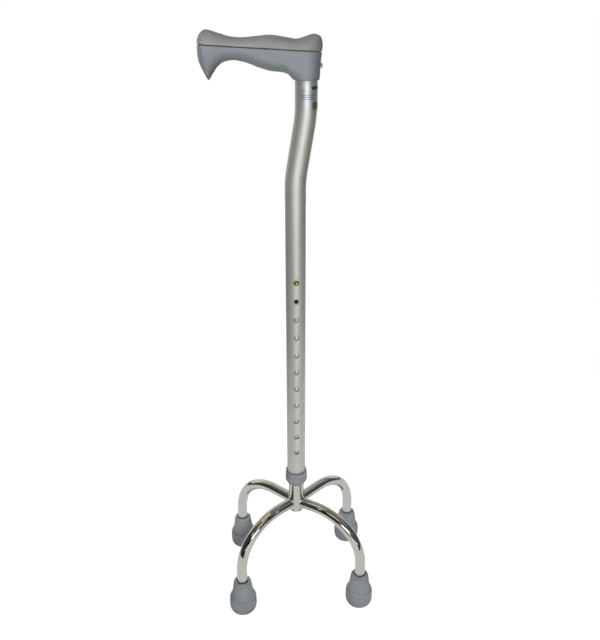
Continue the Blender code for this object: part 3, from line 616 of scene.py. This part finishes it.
class CANE_OT_stage(bpy.types.Operator):
    """White paper floor, a dark room round it that only gloss shows, soft lights, and the camera"""
    bl_idname = "cane.stage"
    bl_label = "Stage and camera"

    # The camera as fitted to the photograph: metres, degrees, and lengths in pixels
    eye_place, eye_drop, eye_turn = (-0.0539, -0.7941, 0.7901), 24.25, -4.268
    focal_length, frame_height = 660.42, 640

    def seen_rays(self, tree):
        """1 for the rays that show the background: camera, glossy and transmission."""
        rays = add(tree, "ShaderNodeLightPath")
        first = maths(tree, "MAXIMUM", rays.outputs["Is Camera Ray"], rays.outputs["Is Glossy Ray"])
        return maths(tree, "MAXIMUM", first, rays.outputs["Is Transmission Ray"])

    def white(self, tree, kind, straight, mirrored):
        """A white source: one strength for the camera, another for what metal shows of it."""
        rays = add(tree, "ShaderNodeLightPath")
        strength = spread(tree, rays.outputs["Is Camera Ray"], mirrored, straight, 0, 1)
        return add(tree, kind, {"Strength": strength}, values={"Color": (1, 1, 1, 1)}).outputs[0]

    def floor(self, settings):
        fresh()
        bpy.ops.mesh.primitive_plane_add(size=1, location=(0.10, 0.95, 0))
        floor = named("paper_floor")
        floor.scale = (1.3, 2.66, 1)
        material, tree, shader = surface("paper", (0.66, 0.66, 0.64), 0.9)
        fibre = grain(tree, 0.004, detail=5)
        tint = blend_colours(tree, spread(tree, fibre, 0, 1), (0.65, 0.65, 0.63), (0.67, 0.67, 0.65))
        tree.links.new(tint, shader.inputs["Base Color"])
        glow = self.white(tree, "ShaderNodeEmission", straight=1.215, mirrored=0.82)
        share = add(tree, "ShaderNodeMath", {0: self.seen_rays(tree)}, values={1: settings.paper},
                    operation="MULTIPLY")
        mix = add(tree, "ShaderNodeMixShader", {0: share.outputs[0], 1: shader.outputs[0], 2: glow})
        tree.links.new(mix.outputs[0], tree.nodes["Material Output"].inputs["Surface"])
        dress(floor, material)

    def card(self, name, place, turn, size, colour, other):
        """A flag of cloth that only gloss shows, uneven between two colours."""
        fresh()
        bpy.ops.mesh.primitive_plane_add(size=1, location=place, rotation=[math.radians(a) for a in turn])
        flag = named(name)
        flag.scale = (*size, 1)
        material, tree, shader = surface(name, (0, 0, 0), 1.0)
        cloth = grain(tree, 0.25, detail=3)
        tint = blend_colours(tree, spread(tree, cloth, 0, 1, 0.35, 0.65), colour, other)
        shader.inputs["Emission Strength"].default_value = 0.82
        tree.links.new(tint, shader.inputs["Emission Color"])
        dress(flag, material)
        flag.visible_camera = flag.visible_diffuse = flag.visible_shadow = flag.visible_transmission = False

    def card_towards(self, name, side, rise, wide, high, colour, other, away=2.9):
        """A card that faces the base from a side and a rise in degrees, so many degrees wide and high."""
        base, turn, tilt = Vector((0, 0, 0.13)), math.radians(side), math.radians(rise)
        place = base + away * Vector((
            math.sin(turn) * math.cos(tilt), -math.cos(turn) * math.cos(tilt), math.sin(tilt)))
        size = [2 * away * math.tan(math.radians(angle / 2)) for angle in (wide, high)]
        self.card(name, place, (90 - rise, 0, side), size, colour, other)

    def room(self):
        """The unlit studio round the paper: ceiling, walls, floor and lamps, as the chrome shows them."""
        black, dim, olive = (0.01, 0.01, 0.005), (0.035, 0.032, 0.02), (0.11, 0.11, 0.075)
        grey, pale = (0.30, 0.30, 0.26), (0.50, 0.50, 0.47)
        for flag in (
            ("room_ceiling", (0, -0.9, 3.4), (0, 0, 0), (8.0, 5.6), (0.19, 0.19, 0.15), grey),
            ("ceiling_front_left", (-2.4, -2.4, 3.2), (0, 0, 0), (3.2, 2.6), dim, olive),
            ("room_front_left", (-2.0, -3.7, 1.7), (90, 0, 0), (4.0, 3.4), black, dim),
            ("room_front_right", (2.0, -3.7, 1.7), (90, 0, 0), (4.0, 3.4), dim, olive),
            ("room_left", (-4.0, -0.9, 1.7), (90, 0, 90), (5.6, 3.4), dim, olive),
            ("room_right", (4.0, -0.9, 1.7), (90, 0, 90), (5.6, 3.4), dim, (0.15, 0.15, 0.11)),
            ("room_back_left", (-2.0, 3.0, 3.4), (60, 0, 0), (4.4, 4.4), (0.42, 0.42, 0.38), pale),
            ("room_back_middle", (2.4, 3.0, 3.2), (60, 0, 0), (4.4, 4.8), (0.24, 0.24, 0.21), grey),
            ("room_back_right", (3.2, 2.2, 1.7), (90, 0, 50), (2.6, 3.4), olive, grey),
            ("floor_far", (0, -2.275, -0.002), (0, 0, 0), (8.0, 2.65), black, dim),
            ("floor_near_left", (-2.09, -0.665, -0.002), (0, 0, 0), (3.82, 0.57), black, dim),
            ("floor_near_right", (2.235, -0.665, -0.002), (0, 0, 0), (3.53, 0.57), black, dim),
            ("pale_apron", (0.145, -0.945, -0.315), (90, 0, 0), (0.65, 0.57), (1.25, 1.25, 1.14),
             (1.1, 1.1, 1.0)),
            ("table_left", (-0.18, -0.665, -0.3), (90, 0, 90), (0.57, 0.6), black, dim),
            ("table_right", (0.47, -0.665, -0.3), (90, 0, 90), (0.57, 0.6), black, dim),
            ("table_foot", (0.145, -0.665, -0.6), (0, 0, 0), (0.65, 0.57), dim, olive),
            ("dark_floor_left", (-2.275, 0.76, 0.0), (0, 0, 0), (3.45, 2.28), dim, (0.07, 0.06, 0.04)),
            ("dark_floor_right", (2.375, 0.76, 0.0), (0, 0, 0), (3.25, 2.28), (0.07, 0.07, 0.045), olive),
        ):
            self.card(*flag)
        for flag in (
            ("warm_umbrella", -5, 41, 27, 20, (1.10, 0.82, 0.60), (0.95, 0.72, 0.52), 1.25),
            ("ceiling_lamp", -60, 73, 26, 22, (1.5, 1.4, 1.2), (1.0, 0.85, 0.63)),
            ("small_lamp", -40, 32, 7, 6, (2.4, 2.4, 2.4), (2.4, 2.4, 2.4), 1.2),
            ("light_stand", 48, 24, 3.5, 42, (0.75, 0.76, 0.78), (0.60, 0.61, 0.62)),
            ("side_strip", 104, 38, 3.5, 36, (0.75, 0.77, 0.82), (0.60, 0.62, 0.66)),
            ("dark_stand", 22, 30, 5, 46, black, dim, 2.7),
        ):
            self.card_towards(*flag)

    def light(self, name, place, target, size, power, colour, beam, shown):
        """A soft box that faces a target, its beam so many degrees wide, for diffuse or glossy rays alone."""
        fresh()
        bpy.ops.object.light_add(type="AREA", location=place)
        lamp = named(name)
        lamp.data.shape = "RECTANGLE"
        lamp.data.size, lamp.data.size_y = size
        lamp.data.energy = power
        lamp.data.color = colour
        lamp.rotation_euler = (Vector(target) - Vector(place)).to_track_quat("-Z", "Y").to_euler()
        lamp.data.spread = math.radians(beam)
        lamp.visible_diffuse, lamp.visible_glossy = shown == "diffuse", shown == "glossy"

    def camera(self):
        fresh()
        turned = (math.radians(90 - self.eye_drop), 0, math.radians(self.eye_turn))
        bpy.ops.object.camera_add(location=self.eye_place, rotation=turned)
        eye = named("photo_view")
        eye.data.sensor_width = 36
        eye.data.lens = self.focal_length * 36 / self.frame_height
        bpy.context.scene.camera = eye

    def backdrop(self, scene, settings):
        """White for the camera and for gloss, and a faint warm light from all round for the rest."""
        scene.world = bpy.data.worlds.new("studio")
        scene.world.use_nodes = True
        tree = scene.world.node_tree
        ambient = tree.nodes["Background"]
        ambient.inputs["Color"].default_value = (1.0, 0.95, 0.88, 1)
        ambient.inputs["Strength"].default_value = settings.world
        white = self.white(tree, "ShaderNodeBackground", straight=1.0, mirrored=0.80)
        mix = add(tree, "ShaderNodeMixShader", {0: self.seen_rays(tree), 1: ambient.outputs[0], 2: white})
        tree.links.new(mix.outputs[0], tree.nodes["World Output"].inputs["Surface"])

    def execute(self, context):
        settings = context.scene.cane_stage
        self.camera()
        self.floor(settings)
        self.room()
        for lamp in (
            ("window_glass", (0.18, -2.6, 0.78), (0, 0, 0.75), (1.1, 0.35), settings.window,
             (0.97, 0.98, 1.0), 180, "glossy"),
            ("soft_box_left", (-0.95, -2.45, 1.4), (0, 0, 0.75), (0.6, 0.6), settings.soft,
             (0.97, 0.99, 1.0), 40, "diffuse"),
            ("grid_lamp_right", (0.34, -1.49, 1.66), (0, 0, 0.08), (0.05, 0.05), settings.lamp,
             (0.95, 0.98, 1.0), 30, "diffuse"),
            ("sunlit_floor", (0.55, -2.7, 0.0), (0.55, -2.7, 1), (3.2, 1.5), settings.sunlit,
             (0.97, 0.98, 1.0), 180, "glossy"),
            ("soft_box_back", (0.5, 2.6, 0.9), (0, 0, 0.4), (1.0, 1.0), settings.back,
             (1.0, 0.99, 0.97), 180, "diffuse"),
        ):
            self.light(*lamp)
        self.backdrop(context.scene, settings)
        context.scene.view_settings.view_transform = "Standard"
        return {"FINISHED"}


class CANE_OT_handle(bpy.types.Operator):
    """The two mouldings of the handle: palm cover above the seam, beak and socket below it"""
    bl_idname = "cane.handle"
    bl_label = "Handle"

    bore_foot, bore_top = -0.0100, 0.0283

    def execute(self, context):
        sizes, looks = context.scene.cane_sizes, context.scene.cane_finishes
        upper = handle_blank("handle_cover")
        at_seam(upper, True, sizes.seam_groove, sizes.seam_lip)
        smooth(upper, 30)
        done(upper, "upper", "upper_grip_plastic", moulded_plastic("upper_grip", looks.upper_grip),
             "handle_upper_shell")
        lower = handle_blank("handle_grip")
        at_seam(lower, False, sizes.seam_groove, sizes.seam_lip)
        drill(lower, "socket_bore", radius=TUBE_RADIUS + GAP, depth=self.bore_top - self.bore_foot,
              place=NECK + Vector((0, 0, (self.bore_top + self.bore_foot) / 2)), tilt=0, sides=96)
        smooth(lower, 30)
        done(lower, "upper", "lower_grip_plastic", moulded_plastic("lower_grip", looks.lower_grip),
             "handle_lower_shell")
        return {"FINISHED"}


class CANE_OT_screw(bpy.types.Operator):
    """Pan-head screw with a cross slot, at the back of the socket"""
    bl_idname = "cane.screw"
    bl_label = "Handle screw"

    slot = (0.0014, 0.0028, 0.0006)

    def execute(self, context):
        place = middle("handle_screw")
        place.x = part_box("handle_screw")[1].x
        outline = [(0.0, 0.0), (0.0011, -0.00008), (0.0021, -0.00035), (0.0029, -0.0009), (0.0032, -0.0014),
                   (0.0032, -0.0017), (0.0016, -0.0018), (0.0016, -0.0085), (0.0, -0.0095)]
        screw = spun("socket_screw", outline, place, along=(1, 0, 0), out=(0, 0, 1), steps=40)
        for turn in (0, math.pi / 2):
            fresh()
            bpy.ops.mesh.primitive_cube_add(size=1, location=place, rotation=(turn, 0, 0), scale=self.slot)
            cut(screw, named("driver_slot"))
        smooth(screw, 40)
        done(screw, "upper", "zinc_steel", worked_metal("zinc_plate", ZINC, 0.30), "handle_screw")
        return {"FINISHED"}


class CANE_OT_tube(bpy.types.Operator):
    """Swan-neck tube with its eleven chamfered height holes"""
    bl_idname = "cane.tube"
    bl_label = "Outer tube"

    top_z = 0.760
    lower_bend, upper_bend, bend_radius = 0.621, 0.694, 0.140
    wall = 0.0016
    pitch, holes = 0.0254, 11
    bit_reach, bit_depth = 0.004, 0.0052

    def execute(self, context):
        lean = math.atan2(NECK_OFFSET, self.upper_bend - self.lower_bend)
        tangent = self.bend_radius * math.tan(lean / 2)
        tube = ring("swan_neck_tube", 96, TUBE_RADIUS, STEM + Vector((0, 0, TUBE_FOOT_Z)))
        extrude((0, 0, self.lower_bend - tangent - TUBE_FOOT_Z))
        low_centre = STEM + Vector((self.bend_radius, 0, self.lower_bend - tangent))
        bpy.ops.mesh.spin(steps=10, angle=lean, center=low_centre, axis=(0, -1, 0))
        straight = (self.upper_bend - self.lower_bend) / math.cos(lean) - 2 * tangent
        extrude((straight * math.sin(lean), 0, straight * math.cos(lean)))
        high_centre = STEM + Vector((NECK_OFFSET - self.bend_radius, 0, self.upper_bend + tangent))
        bpy.ops.mesh.spin(steps=10, angle=lean, center=high_centre, axis=(0, 1, 0))
        extrude((0, 0, self.top_z - self.upper_bend - tangent))
        tidy()
        applied(tube, "SOLIDIFY", thickness=self.wall, offset=-1, use_even_offset=True)
        chamfer = context.scene.cane_sizes.hole_chamfer
        bit = [(0.0, self.bit_reach), (HOLE_RADIUS + self.bit_reach + chamfer, self.bit_reach),
               (HOLE_RADIUS, -chamfer), (HOLE_RADIUS, -self.bit_depth), (0.0, -self.bit_depth)]
        for number in range(self.holes):
            face = STEM + Vector((0, -TUBE_RADIUS, BUTTON_Z - number * self.pitch))
            cut(tube, spun("drill", bit, face, along=(0, -1, 0), out=(1, 0, 0), steps=40))
        smooth(tube, 30)
        satin = anodised_tube(context.scene.cane_finishes.tube)
        done(tube, "upper", "tube_aluminium", satin, "outer_tube")
        return {"FINISHED"}


class CANE_OT_label(bpy.types.Operator):
    """Silver film wrapped part of the way round the tube under the handle"""
    bl_idname = "cane.label"
    bl_label = "Label film"

    start, turn, thick = math.radians(-43), math.radians(200), 0.0002

    def execute(self, context):
        low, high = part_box("tube_label")
        fresh()
        bpy.ops.mesh.primitive_cylinder_add(
            vertices=180, radius=TUBE_RADIUS + GAP, depth=high.z - low.z, end_fill_type="NOTHING",
            location=(NECK.x, NECK.y, (low.z + high.z) / 2))
        film = named("label_film")
        edit(film)
        first = -math.pi / 2 + self.start

        def off_label(face):
            centre = face.calc_center_median()
            return (math.atan2(centre.y, centre.x) - first) % math.tau > self.turn

        pick(film, "faces", off_label)
        bpy.ops.mesh.delete(type="FACE")
        bpy.ops.object.mode_set(mode="OBJECT")
        applied(film, "SOLIDIFY", thickness=self.thick, offset=1)
        smooth(film, 40)
        done(film, "upper", "label_film", label_film(context.scene.cane_finishes.film), "tube_label")
        return {"FINISHED"}


class CANE_OT_collar(bpy.types.Operator):
    """Sleeve on the tube's lower end, with a lip, a step and a tapered foot"""
    bl_idname = "cane.collar"
    bl_label = "Collar"

    def execute(self, context):
        low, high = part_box("tube_collar")
        top, foot = high.z, low.z
        grip, guide = TUBE_RADIUS + GAP, STEM_RADIUS + GAP
        out = (high.x - low.x) / 2
        seat = TUBE_FOOT_Z - GAP
        outline = [
            (0.0134, top - 0.0002), (0.0138, top), (out - 0.0010, top - 0.0002), (out - 0.0006, top - 0.0008),
            (out - 0.0005, top - 0.0018), (out - 0.0005, top - 0.0036), (out - 0.0007, top - 0.0041),
            (out - 0.0010, top - 0.0044), (out - 0.0007, top - 0.0047), (out - 0.0003, top - 0.0051),
            (out - 0.0003, top - 0.0067), (out - 0.0005, top - 0.0071), (out - 0.0007, top - 0.0074),
            (out - 0.0005, top - 0.0077), (out, top - 0.0082), (out, foot + 0.0056),
            (0.0128, foot + 0.0006), (0.0120, foot), (guide + 0.0005, foot), (guide, foot + 0.0005),
            (guide, seat), (grip, seat), (grip, top - 0.0008), (0.0134, top - 0.0002)]
        collar = spun("tube_end_collar", outline, STEM, steps=context.scene.cane_sizes.turning)
        soften(collar, 0.00025, 2, 25)
        smooth(collar, 30)
        grey = moulded_plastic("collar_grey", context.scene.cane_finishes.collar, 0.5)
        done(collar, "upper", "collar_plastic", grey, "tube_collar")
        return {"FINISHED"}


class CANE_OT_base(bpy.types.Operator):
    """Chromed stem and the four bent legs, each with a smooth weld fillet round its end"""
    bl_idname = "cane.base"
    bl_label = "Stem and legs"

    joint_z, bend_radius, droop, leg_radius = 0.1456, 0.075, math.radians(2.0), 0.0075
    foot_z, inner_end, stem_wall = 0.0096, 0.0045, 0.0012
    sunk, torus_sides, hollow_sides = 0.0003, 20, 15

    def stem(self, chrome):
        low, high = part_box("base_stem")
        bore = STEM_RADIUS - self.stem_wall
        outline = [(STEM_RADIUS, high.z), (STEM_RADIUS, low.z), (bore, low.z), (bore, high.z),
                   (STEM_RADIUS, high.z)]
        stem = spun("chromed_stem", outline, STEM, steps=96)
        soften(stem, 0.0003, 3, 40)
        drill(stem, "button_hole", radius=HOLE_RADIUS, depth=0.008,
              place=STEM + Vector((0, -STEM_RADIUS, BUTTON_Z)))
        smooth(stem, 30)
        done(stem, "base", "chromed_steel", chrome, "base_stem")

    def leg(self, name, chrome):
        """A straight foot, one bend and a straight run to the stem. Gives its direction from above."""
        foot = middle("ferrule_" + name)
        foot.z = 0
        out = foot - STEM
        reach = out.length
        out.normalize()
        flat = reach - self.bend_radius * (1 - math.sin(self.droop))
        bend_z = self.joint_z - math.tan(self.droop) * flat - self.bend_radius * math.cos(self.droop)
        centre = foot - out * self.bend_radius + Vector((0, 0, bend_z))
        leg = ring("leg_tube_" + name, 64, self.leg_radius, foot + Vector((0, 0, self.foot_z)), "NGON")
        extrude((0, 0, bend_z - self.foot_z))
        bpy.ops.mesh.spin(steps=40, angle=math.pi / 2 - self.droop, center=centre,
                          axis=Vector((0, 0, 1)).cross(out))
        along = -out * math.cos(self.droop) + Vector((0, 0, math.sin(self.droop)))
        length = (flat - self.inner_end) / math.cos(self.droop)
        extrude(along * length)
        tidy()
        smooth(leg, 40)
        done(leg, "base", "chromed_steel", chrome, "leg_" + name)
        return out

    def weld(self, name, out, chrome, fillet):
        """A smooth hollow fillet between the leg and the stem's round side."""
        fresh()
        bpy.ops.mesh.primitive_torus_add(major_segments=96, minor_segments=self.torus_sides,
                                         major_radius=self.leg_radius, minor_radius=fillet / 4)
        piece, sunk = named("weld_fillet_" + name), self.sunk
        hollow = [(1 - math.cos(a), 1 - math.sin(a)) for a in np.linspace(0, math.pi / 2, self.hollow_sides)]
        side = Vector((0, 0, 1)).cross(out)
        height = self.joint_z - math.tan(self.droop) * STEM_RADIUS
        for vertex in piece.data.vertices:
            turn = math.atan2(vertex.co.y, vertex.co.x)
            wider = Vector((vertex.co.x, vertex.co.y)).length - self.leg_radius
            step = round(math.atan2(vertex.co.z, wider) / math.tau * self.torus_sides) % self.torus_sides
            width = fillet * (1 - 0.5 * math.cos(turn) ** 2)
            if step < self.hollow_sides:
                away, along = hollow[step][0] * width, hollow[step][1] * width
            else:
                away, along = [(width, -sunk), (width / 2, -sunk), (-sunk, -sunk), (-sunk, width / 2),
                               (-sunk, width)][step - self.hollow_sides]
            across, rise = ((self.leg_radius + away) * f(turn) for f in (math.cos, math.sin))
            reach = math.sqrt(max(STEM_RADIUS ** 2 - across ** 2, 0)) + along
            vertex.co = STEM + out * reach + side * across + Vector((0, 0, height + rise))
        edit(piece)
        tidy()
        smooth(piece, 60)
        done(piece, "base", "chromed_steel", chrome)

    def execute(self, context):
        chrome = chrome_plate(context.scene.cane_finishes.chrome)
        self.stem(chrome)
        for name in FEET:
            out = self.leg(name, chrome)
            self.weld(name, out, chrome, context.scene.cane_sizes.weld_fillet)
        return {"FINISHED"}


class CANE_OT_ferrules(bpy.types.Operator):
    """Four rubber feet: a tapered neck with a rolled rim, a shoulder and a ribbed sole"""
    bl_idname = "cane.ferrules"
    bl_label = "Ferrules"

    def execute(self, context):
        rubber = foot_rubber(context.scene.cane_finishes.rubber)
        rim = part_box("ferrule_front_left")[1].z
        bore, floor, out, groove = 0.0078, 0.007, 0.0196, 0.0009
        outline = [
            (0.0, floor), (bore, floor), (bore, rim - 0.0006), (0.0080, rim - 0.0002), (0.0085, rim),
            (0.0091, rim - 0.0001), (0.0103, rim - 0.0005), (0.0114, rim - 0.0012), (0.0123, rim - 0.0023),
            (0.0128, rim - 0.0038), (0.0159, 0.0240), (0.0162, 0.0235), (0.0181, 0.0225), (0.0186, 0.0221),
            (0.0190, 0.0213), (0.0193, 0.0200), (0.0195, 0.0180), (out, 0.0160), (out, 0.0070),
            (0.0194, 0.0048), (0.0190, 0.0028), (0.0184, 0.0012), (0.0178, 0.0003), (0.0170, 0.0),
            (0.0138, 0.0), (0.0134, groove), (0.0122, groove), (0.0118, 0.0), (0.0090, 0.0),
            (0.0086, groove), (0.0074, groove), (0.0070, 0.0), (0.0, 0.0)]
        for name in FEET:
            place = middle("ferrule_" + name)
            place.z = 0
            foot = spun("rubber_foot_" + name, outline, place, steps=context.scene.cane_sizes.turning)
            smooth(foot, 28)
            done(foot, "base", "foot_rubber", rubber, "ferrule_" + name)
        return {"FINISHED"}


class CANE_OT_button(bpy.types.Operator):
    """Brass snap button that stands in the top hole, riveted to the leaf spring behind it"""
    bl_idname = "cane.button"
    bl_label = "Snap button"

    dome, rivet_radius, rivet_thick = 0.0021, 0.0021, 0.0007

    def execute(self, context):
        low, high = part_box("snap_button")
        place = middle("snap_button")
        place.y = low.y
        radius = (high.x - low.x) / 2
        reach = STEM.y - place.y
        dome = [(radius * math.sin(a), self.dome * (math.cos(a) - 1)) for a in np.linspace(0, math.pi / 2, 12)]
        shoulder, tail = LEAF_FRONT + GAP - reach, LEAF_FRONT - LEAF_THICK - GAP - reach
        end = tail - self.rivet_thick
        outline = [*dome, (radius, shoulder), (BUTTON_NECK, shoulder), (BUTTON_NECK, tail),
                   (self.rivet_radius, tail), (self.rivet_radius, end), (0.0, end)]
        button = spun("brass_button", outline, place, along=(0, -1, 0), out=(1, 0, 0), steps=48)
        smooth(button, 40)
        brass = worked_metal("turned_brass", context.scene.cane_finishes.brass, 0.20)
        done(button, "button", "button_brass", brass, "snap_button")
        return {"FINISHED"}


class CANE_OT_spring(bpy.types.Operator):
    """Bent leaf spring inside the stem, whose front arm holds the button"""
    bl_idname = "cane.spring"
    bl_label = "Button spring"

    bend_radius, splay = 0.0035, 0.16

    def execute(self, context):
        low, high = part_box("button_spring")
        button = middle("snap_button")
        turn, thick = self.bend_radius, LEAF_THICK
        arm = (high.y - low.y - thick) / 2
        foot = low.z + thick / 2 + turn
        bend = [(turn * math.cos(a), foot + turn * math.sin(a))
                for a in np.linspace(math.pi + self.splay, math.tau - self.splay, 16)]
        line = [(-arm, button.z + 0.006), (-arm, button.z - 0.006), *bend, (arm, button.z - 0.001),
                (arm, button.z + 0.005)]
        spring = drawn("leaf_spring", [Vector((low.x, STEM.y + y, z)) for y, z in line])
        extrude((high.x - low.x, 0, 0))
        tidy()
        applied(spring, "SOLIDIFY", thickness=thick, offset=0, use_even_offset=True)
        drill(spring, "leaf_hole", radius=BUTTON_NECK + GAP, depth=0.004,
              place=(STEM.x, STEM.y - arm, button.z))
        edit(spring)
        tidy()
        soften(spring, 0.00012, 2, 50)
        smooth(spring, 35)
        blued = worked_metal("blued_spring", (0.16, 0.17, 0.20), 0.32)
        done(spring, None, "spring_steel", blued, "button_spring")
        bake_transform(spring)
        return {"FINISHED"}


class CANE_OT_inner_parts(bpy.types.Operator):
    """Finishes of the CAD nodes that stay: washers and stem plug"""
    bl_idname = "cane.inner_parts"
    bl_label = "Inner parts"

    def execute(self, context):
        zinc = worked_metal("washer_zinc", ZINC, 0.34)
        for name in FEET:
            dress(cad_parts["washer_" + name], zinc)
        dress(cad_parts["stem_plug"], moulded_plastic("plug_black", (0.03, 0.03, 0.03), 0.5))
        return {"FINISHED"}


class CANE_PT_panel(bpy.types.Panel):
    """The cane's pieces, in the order in which they are made"""
    bl_label = "Quad cane"
    bl_idname = "CANE_PT_panel"
    bl_space_type = "VIEW_3D"
    bl_region_type = "UI"
    bl_category = "Cane"

    def draw(self, context):
        for group in ("cane_sizes", "cane_finishes", "cane_stage"):
            settings = getattr(context.scene, group)
            box = self.layout.box()
            for key in settings.__annotations__:
                box.prop(settings, key)
        for step in STEPS:
            self.layout.operator(step.bl_idname)


GROUPS = {"cane_sizes": CaneSizes, "cane_finishes": CaneFinishes, "cane_stage": CaneStage}
STEPS = (CANE_OT_stage, CANE_OT_tube, CANE_OT_collar, CANE_OT_label, CANE_OT_handle, CANE_OT_screw,
         CANE_OT_base, CANE_OT_ferrules, CANE_OT_button, CANE_OT_spring, CANE_OT_inner_parts)


def register():
    for kind in (*GROUPS.values(), *STEPS, CANE_PT_panel):
        bpy.utils.register_class(kind)
    for name, kind in GROUPS.items():
        setattr(bpy.types.Scene, name, PointerProperty(type=kind))


def unregister():
    for name in GROUPS:
        delattr(bpy.types.Scene, name)
    for kind in (CANE_PT_panel, *reversed(STEPS), *reversed(GROUPS.values())):
        bpy.utils.unregister_class(kind)


def main():
    register()
    for step in STEPS:
        section, action = step.bl_idname.split(".")
        getattr(getattr(bpy.ops, section), action)()


if __name__ == "__main__":
    main()
